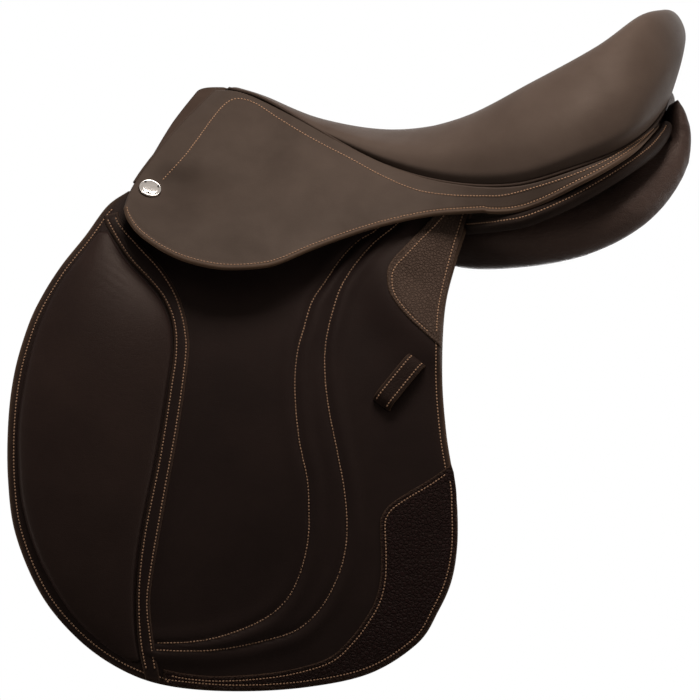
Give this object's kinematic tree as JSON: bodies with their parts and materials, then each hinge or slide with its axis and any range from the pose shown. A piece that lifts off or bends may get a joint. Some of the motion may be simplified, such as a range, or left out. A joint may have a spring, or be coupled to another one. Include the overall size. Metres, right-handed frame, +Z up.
{
  "type": "jumping saddle",
  "caption": "Brown leather jumping saddle with a deep seat, forward-cut flaps with knee pads, lifting skirts over stirrup bars, girth billets and flocked panels.",
  "frame": {"origin": "on the middle plane, under the deepest part of the seat, at the level of the horse's back line", "axes": "+X to the horse's head, +Y to its near (left) side, +Z up; millimetres in the solids, metres in this record"},
  "size_m": [0.5481, 0.3932, 0.5448],
  "materials": {
    "leather": "smooth, waxed",
    "dark_leather": "grained",
    "panel": "soft, over wool flocking",
    "beech": "laminated, raw",
    "steel": "satin",
    "foam": "open foam",
    "webbing": "woven linen"
  },
  "bodies": {
    "saddle": {"tree": "beech", "gullet_plate": "steel", "tree_springs": "steel", "tree_rivets": "steel", "seat_web": "webbing", "near_girth_web": "webbing", "off_girth_web": "webbing", "near_stirrup_bar": "steel", "off_stirrup_bar": "steel", "catch_pins": "steel", "bar_rivets": "steel", "seat_foam": "foam", "seat_cover": "leather", "seat_welt": "dark_leather", "near_skirt_top": "leather", "off_skirt_top": "leather", "pommel_facing": "leather", "cantle_facing": "leather", "skirt_studs": "steel", "near_flap_top": "leather", "off_flap_top": "leather", "knee_pad_tips": "leather", "knee_strip_tops": "leather", "thigh_patch_tops": "dark_leather", "near_sweat_flap": "dark_leather", "off_sweat_flap": "dark_leather", "near_knee_block": "dark_leather", "off_knee_block": "dark_leather", "near_thigh_block": "dark_leather", "off_thigh_block": "dark_leather", "near_point_pocket": "dark_leather", "off_point_pocket": "dark_leather", "near_panel": "panel", "off_panel": "panel", "near_panel_roll": "leather", "off_panel_roll": "leather"},
    "near_flap_body": {"near_flap": "leather", "near_knee_pad": "leather", "near_knee_strip": "leather", "near_thigh_patch": "dark_leather", "near_calf_patch": "dark_leather", "near_keeper": "dark_leather"},
    "near_skirt_lobe": {"near_skirt": "leather"},
    "near_catch": {"near_bar_catch": "steel"},
    "near_billet_front": {"near_front_billet": "dark_leather"},
    "near_billet_rear": {"near_rear_billet": "dark_leather"},
    "off_flap_body": {"off_flap": "leather", "off_knee_pad": "leather", "off_knee_strip": "leather", "off_thigh_patch": "dark_leather", "off_calf_patch": "dark_leather", "off_keeper": "dark_leather"},
    "off_skirt_lobe": {"off_skirt": "leather"},
    "off_catch": {"off_bar_catch": "steel"},
    "off_billet_front": {"off_front_billet": "dark_leather"},
    "off_billet_rear": {"off_rear_billet": "dark_leather"}
  },
  "joints": [
    {"name": "near_flap_lift", "type": "hinge", "parent": "saddle", "child": "near_flap_body", "pos_m": [0, 0.12337, -0.047], "axis": [1, 0, 0], "range_deg": [0, 70]},
    {"name": "near_skirt_lift", "type": "hinge", "parent": "saddle", "child": "near_skirt_lobe", "pos_m": [0, 0.12013, 0.008], "axis": [1, 0, 0], "range_deg": [0, 70]},
    {"name": "near_catch_turn", "type": "hinge", "parent": "saddle", "child": "near_catch", "pos_m": [0.10125, 0.12171, -0.01804], "axis": [0, 0.9146, 0.4044], "range_deg": [0, 75]},
    {"name": "near_front_billet_swing", "type": "hinge", "parent": "saddle", "child": "near_billet_front", "pos_m": [0.076, 0.10209, -0.0196], "axis": [0, 0.9117, 0.4108], "range_deg": [-4, 4]},
    {"name": "near_rear_billet_swing", "type": "hinge", "parent": "saddle", "child": "near_billet_rear", "pos_m": [0.03, 0.10209, -0.0196], "axis": [0, 0.9117, 0.4108], "range_deg": [-4, 4]},
    {"name": "off_flap_lift", "type": "hinge", "parent": "saddle", "child": "off_flap_body", "pos_m": [0, -0.12337, -0.047], "axis": [-1, 0, 0], "range_deg": [0, 70]},
    {"name": "off_skirt_lift", "type": "hinge", "parent": "saddle", "child": "off_skirt_lobe", "pos_m": [0, -0.12013, 0.008], "axis": [-1, 0, 0], "range_deg": [0, 70]},
    {"name": "off_catch_turn", "type": "hinge", "parent": "saddle", "child": "off_catch", "pos_m": [0.10125, -0.12171, -0.01804], "axis": [0, 0.9146, -0.4044], "range_deg": [0, 75]},
    {"name": "off_front_billet_swing", "type": "hinge", "parent": "saddle", "child": "off_billet_front", "pos_m": [0.076, -0.10209, -0.0196], "axis": [0, 0.9117, -0.4108], "range_deg": [-4, 4]},
    {"name": "off_rear_billet_swing", "type": "hinge", "parent": "saddle", "child": "off_billet_rear", "pos_m": [0.03, -0.10209, -0.0196], "axis": [0, 0.9117, -0.4108], "range_deg": [-4, 4]}
  ],
  "couplings": [
    {"joint": "near_rear_billet_swing", "follows": "near_front_billet_swing", "ratio": 1},
    {"joint": "off_rear_billet_swing", "follows": "off_front_billet_swing", "ratio": 1}
  ]
}
